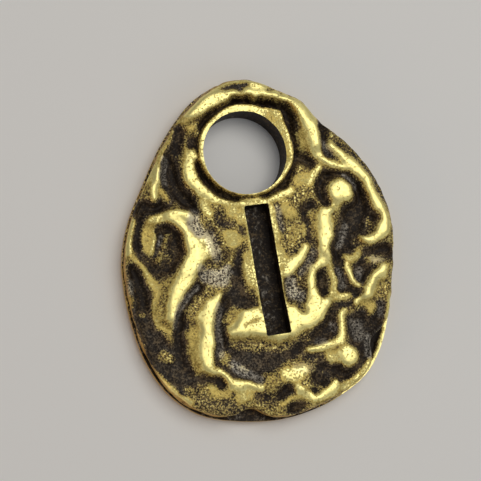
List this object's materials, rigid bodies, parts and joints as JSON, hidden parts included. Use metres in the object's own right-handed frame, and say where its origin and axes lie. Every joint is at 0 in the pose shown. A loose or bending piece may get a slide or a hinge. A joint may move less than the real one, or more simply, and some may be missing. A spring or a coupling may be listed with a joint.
{
  "type": "transit token",
  "caption": "Pebble-shaped cast brass token with a lumpy antiqued face, a round hanging hole at one end and a long bar-shaped recess below it.",
  "frame": {"origin": "middle of the token's outline, on its flat back, so it lies face up on Z = 0", "axes": "+Z out of the lumpy face, +Y from the middle towards the hanging hole, +X to the right with the face towards the viewer and the hole up"},
  "size_m": [0.0273, 0.0336, 0.003],
  "materials": {
    "dark_brass": "dark patina, lightly rubbed bright at its rim",
    "antiqued_brass": "burnished on the high points, near-black patina in the hollows"
  },
  "bodies": {
    "root": {"back_plate": "dark_brass", "face_casting": "antiqued_brass"}
  },
  "joints": []
}
